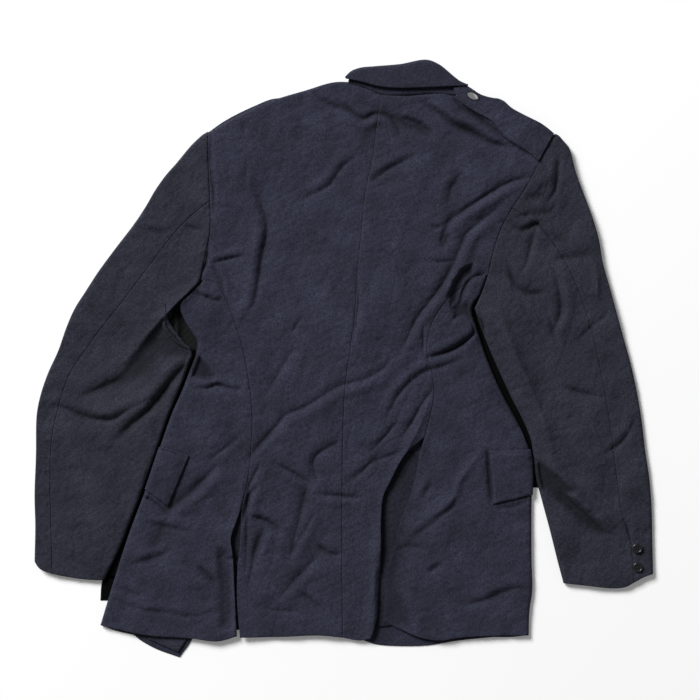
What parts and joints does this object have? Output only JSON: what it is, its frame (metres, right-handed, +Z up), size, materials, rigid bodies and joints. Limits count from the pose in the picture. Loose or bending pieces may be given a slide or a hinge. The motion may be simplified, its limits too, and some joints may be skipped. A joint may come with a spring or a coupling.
{
  "type": "service dress jacket",
  "caption": "Tailored wool service dress jacket laid face down, arms beside the body, with folded collar, shoulder straps, side vents and pocket flaps.",
  "frame": {"origin": "centre of the bounding box on the table the jacket lies on", "axes": "+X across the jacket to the wearer's right arm, which is at the right when the back is seen, +Y up the back to the collar, +Z up from the table through the back"},
  "size_m": [0.855, 0.8254, 0.0208],
  "materials": {
    "wool_back": "matt woven wool",
    "wool_sleeve": "matt woven wool",
    "wool_collar": "matt woven wool",
    "lining": "smooth lining",
    "button": "polished"
  },
  "bodies": {
    "root": {"back_left": "wool_back", "back_right": "wool_back", "side_left": "wool_back", "side_right": "wool_back", "front_left": "wool_back", "front_right": "wool_back", "facing_left": "wool_sleeve", "lapel_left": "wool_collar", "lapel_right": "wool_collar", "sleeve_top_left": "wool_sleeve", "sleeve_under_left": "wool_sleeve", "sleeve_top_right": "wool_sleeve", "sleeve_under_right": "wool_sleeve", "collar_leaf": "wool_collar", "collar_stand": "wool_collar", "strap_right": "wool_back", "strap_left": "wool_back", "flap_left": "wool_back", "flap_right": "wool_back", "vent_underlap_left": "wool_back", "vent_underlap_right": "wool_back", "lining_left": "lining", "cuff_button_upper": "button", "cuff_button_lower": "button"}
  },
  "joints": []
}
